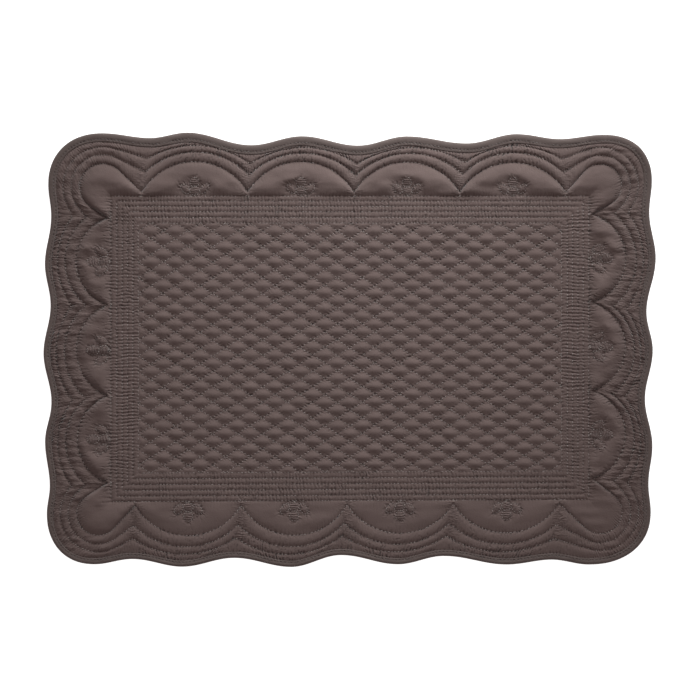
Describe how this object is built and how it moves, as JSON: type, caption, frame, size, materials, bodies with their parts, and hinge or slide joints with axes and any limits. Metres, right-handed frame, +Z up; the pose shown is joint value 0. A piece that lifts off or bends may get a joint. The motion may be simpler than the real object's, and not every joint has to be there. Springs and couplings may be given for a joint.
{
  "type": "quilted fabric placemat",
  "caption": "Rectangular quilted cotton placemat, lying flat, with rounded corners, a waved bound edge, diamond quilting, a straight-quilted frame and a scalloped border.",
  "frame": {"origin": "under the middle of the mat, on the surface it lies on", "axes": "+X along the long side, +Y to the far long side, +Z up, out of the quilted face"},
  "size_m": [0.4799, 0.3405, 0.0047],
  "materials": {
    "quilted_cloth": "matt taupe cotton, quilted",
    "binding_cloth": "matt taupe cotton bias strip"
  },
  "bodies": {
    "root": {"quilted_panel": "quilted_cloth", "binding": "binding_cloth"}
  },
  "joints": []
}
